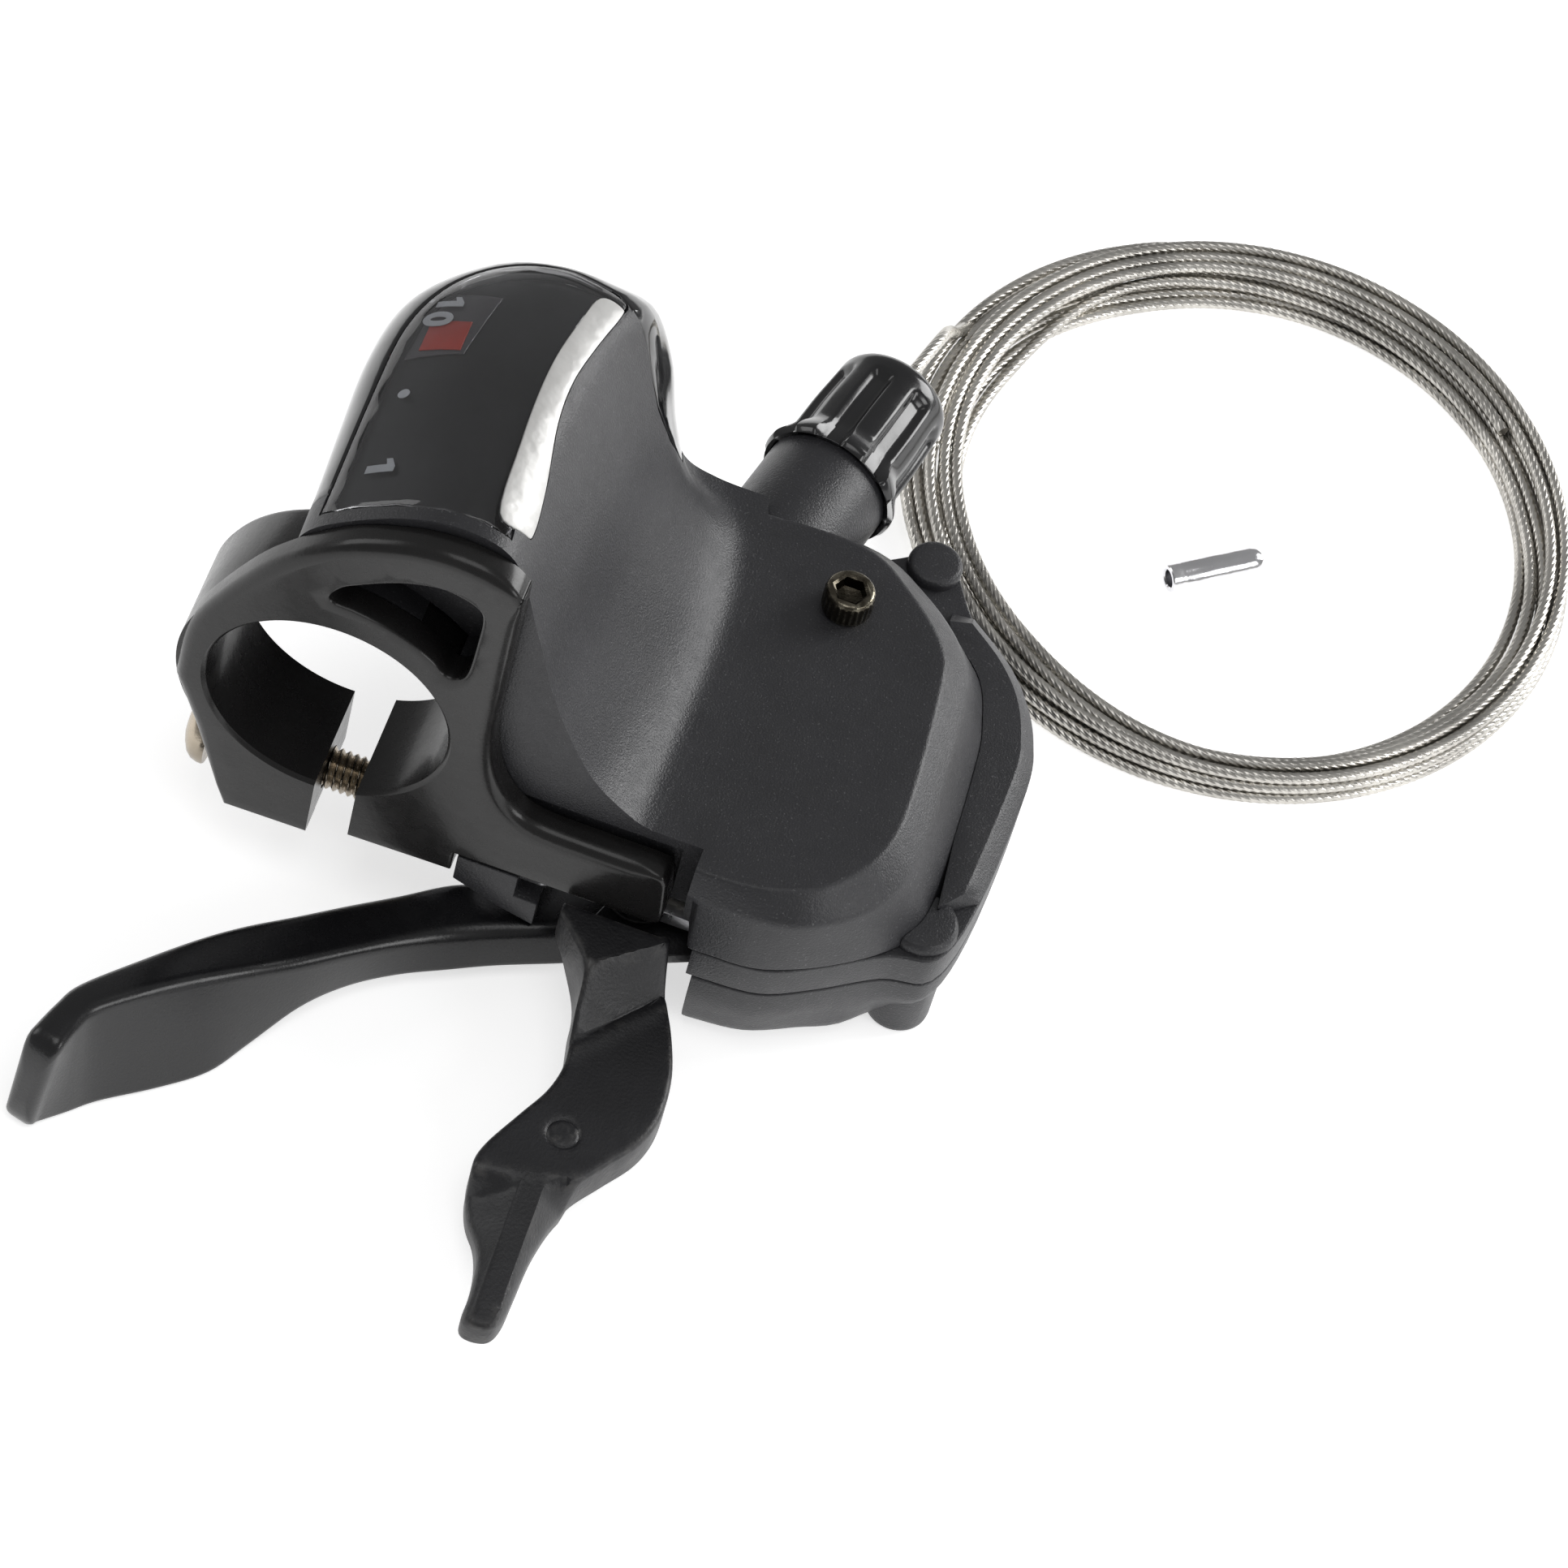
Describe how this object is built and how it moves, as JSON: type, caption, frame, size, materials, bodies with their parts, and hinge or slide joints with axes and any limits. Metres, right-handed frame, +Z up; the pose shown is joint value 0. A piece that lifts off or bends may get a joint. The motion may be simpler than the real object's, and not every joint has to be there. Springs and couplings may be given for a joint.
{
  "type": "thumb shifter",
  "caption": "Flat-bar thumb shifter with a handlebar clamp, thumb and release levers, gear window, barrel adjuster and coiled inner cable.",
  "frame": {"origin": "centre of the handlebar bore, half way along the clamp", "axes": "+X forward, away from the rider; +Y along the handlebar towards its middle; +Z up, square to the deck of the housing"},
  "size_m": [0.1171, 0.1492, 0.0543],
  "materials": {
    "bracket_black": "satin black paint on die-cast alloy",
    "housing_grey_black": "fine-grained moulded plastic with a faint sparkle",
    "bezel_black": "polished black plastic",
    "dial_black": "flat black print with grey digits",
    "lens_smoke": "clear smoked plastic",
    "trim_silver": "bright foil with a fine crinkle",
    "pointer_orange": "red-orange plastic",
    "lever_black": "satin black lever plastic",
    "release_black": "matte black plastic, worn on its edges",
    "knob_black": "gloss black plastic",
    "bolt_bronze": "zinc-plated steel with a warm tone",
    "bolt_dark": "dark blackened steel",
    "steel": "bare steel",
    "spring_steel": "bare spring wire",
    "nylon": "natural nylon",
    "cable_steel": "stranded stainless steel wire",
    "cap_aluminium": "bright soft aluminium"
  },
  "bodies": {
    "housing": {"clamp_bracket": "bracket_black", "clamp_bolt": "bolt_bronze", "clamp_nut": "steel", "guide_block": "nylon", "upper_housing": "housing_grey_black", "indicator_bezel": "bezel_black", "indicator_lens": "lens_smoke", "dial_plate": "dial_black", "trim_strip": "trim_silver", "pointer_rail": "steel", "middle_housing": "housing_grey_black", "bottom_cover": "housing_grey_black", "lever_guard": "lever_black", "base_plate": "steel", "bracket_screws": "steel", "housing_bolt": "bolt_dark", "cover_screws": "steel", "main_axle": "steel", "retaining_ring": "steel", "spool_spring": "spring_steel", "thumb_return_spring": "spring_steel", "release_pin": "steel", "release_spring": "spring_steel", "hold_pawl_pin": "steel", "hold_pawl_spring": "spring_steel", "adjuster_spring": "spring_steel", "cable_inner": "cable_steel", "cable_run": "cable_steel", "cable_coil": "cable_steel", "cable_end_cap": "cap_aluminium"},
    "spool": {"cable_spool": "nylon", "ratchet_ring": "steel", "cable_nipple": "steel"},
    "thumb_lever": {"lever_hub": "steel", "thumb_lever": "lever_black", "drive_pawl_pin": "steel", "drive_pawl_spring": "spring_steel"},
    "drive_pawl": {"drive_pawl": "steel"},
    "release_lever": {"release_lever": "release_black"},
    "hold_pawl": {"hold_pawl": "steel"},
    "pointer": {"pointer": "pointer_orange"},
    "adjuster_detent": {"adjuster_detent": "nylon"},
    "adjuster_knob": {"adjuster_knob": "knob_black", "adjuster_stem": "cap_aluminium"}
  },
  "joints": [
    {"name": "spool_turn", "type": "hinge", "parent": "housing", "child": "spool", "pos_m": [0.0375, 0.012, -0.0115], "axis": [0, 0, 1], "range_deg": [0, 108]},
    {"name": "thumb_lever_swing", "type": "hinge", "parent": "housing", "child": "thumb_lever", "pos_m": [0.0375, 0.012, -0.022], "axis": [0, 0, 1], "range_deg": [0, 22], "stiffness_Nm_per_rad": 0.15, "springref_deg": -17.19},
    {"name": "drive_pawl_tilt", "type": "hinge", "parent": "thumb_lever", "child": "drive_pawl", "pos_m": [0.03238, 0.02162, -0.0178], "axis": [0, 0, 1], "range_deg": [0, 8], "stiffness_Nm_per_rad": 0.002, "springref_deg": -11.46},
    {"name": "release_lever_swing", "type": "hinge", "parent": "housing", "child": "release_lever", "pos_m": [0.0305, -0.001, -0.018], "axis": [0, 0, 1], "range_deg": [-12, 0], "stiffness_Nm_per_rad": 0.1, "springref_deg": 17.19},
    {"name": "hold_pawl_lift", "type": "hinge", "parent": "housing", "child": "hold_pawl", "pos_m": [0.04404, 0.00194, -0.0178], "axis": [0, 0, 1], "range_deg": [-10, 0]},
    {"name": "pointer_slide", "type": "slide", "parent": "housing", "child": "pointer", "axis": [0, -1, 0], "range_m": [0, 0.0161]},
    {"name": "adjuster_travel", "type": "slide", "parent": "housing", "child": "adjuster_detent", "axis": [0.2221, 0.975, 0], "range_m": [0, 0.0024]},
    {"name": "adjuster_turn", "type": "hinge", "parent": "adjuster_detent", "child": "adjuster_knob", "pos_m": [0.03424, 0.05172, -0.0115], "axis": [0.2221, 0.975, 0], "range_deg": [0, 1080]}
  ],
  "couplings": [
    {"joint": "hold_pawl_lift", "follows": "release_lever_swing", "ratio": 0.8},
    {"joint": "pointer_slide", "follows": "spool_turn", "m_per_rad": 0.008488},
    {"joint": "adjuster_turn", "follows": "adjuster_travel", "rad_per_m": 7854}
  ]
}
